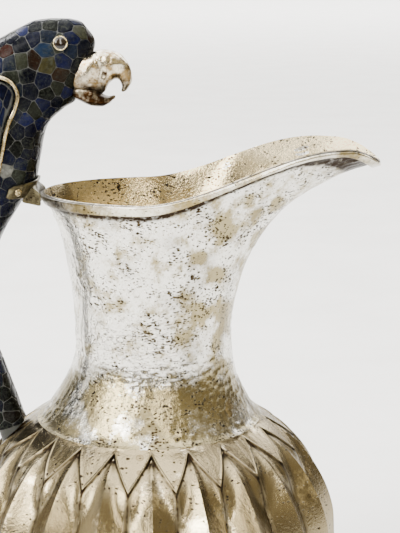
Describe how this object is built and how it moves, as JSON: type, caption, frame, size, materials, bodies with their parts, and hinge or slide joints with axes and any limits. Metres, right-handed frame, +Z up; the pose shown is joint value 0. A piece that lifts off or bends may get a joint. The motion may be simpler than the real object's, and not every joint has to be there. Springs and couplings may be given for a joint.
{
  "type": "water pitcher",
  "caption": "Large hand-hammered water pitcher with a fluted globe body, a long upswept spout and a handle shaped as a parrot covered in dark stone mosaic.",
  "frame": {"origin": "centre of the footprint on the table, level with the underside of the foot ring", "axes": "+Z up, +X towards the spout, -X towards the parrot handle"},
  "size_m": [0.2139, 0.1829, 0.3333],
  "materials": {
    "hammered_silver": "hammered silver plate, lightly tarnished",
    "fluted_silver": "chased silver plate with a warm tarnish in the grooves",
    "polished_silver": "polished silver",
    "shell_metal": "bare sheet metal",
    "stone_mosaic": "polished dark stone chips set in pale cement",
    "dark_inlay": "polished dark stone",
    "eye_stone": "polished dark stone"
  },
  "bodies": {
    "root": {"bowl": "fluted_silver", "neck_spout": "hammered_silver", "rim_band": "polished_silver", "rim_lug": "hammered_silver", "foot_ring": "hammered_silver", "handle_yoke": "hammered_silver", "rivet_left": "polished_silver", "rivet_right": "polished_silver", "bird_shell": "shell_metal", "head_mosaic": "stone_mosaic", "breast_mosaic": "stone_mosaic", "tail_mosaic": "stone_mosaic", "wing_left": "dark_inlay", "wing_right": "dark_inlay", "wing_wire_left": "polished_silver", "wing_wire_right": "polished_silver", "beak_upper": "polished_silver", "beak_lower": "polished_silver", "eye_ring_left": "polished_silver", "eye_ring_right": "polished_silver", "eye_stone_left": "eye_stone", "eye_stone_right": "eye_stone"}
  },
  "joints": []
}
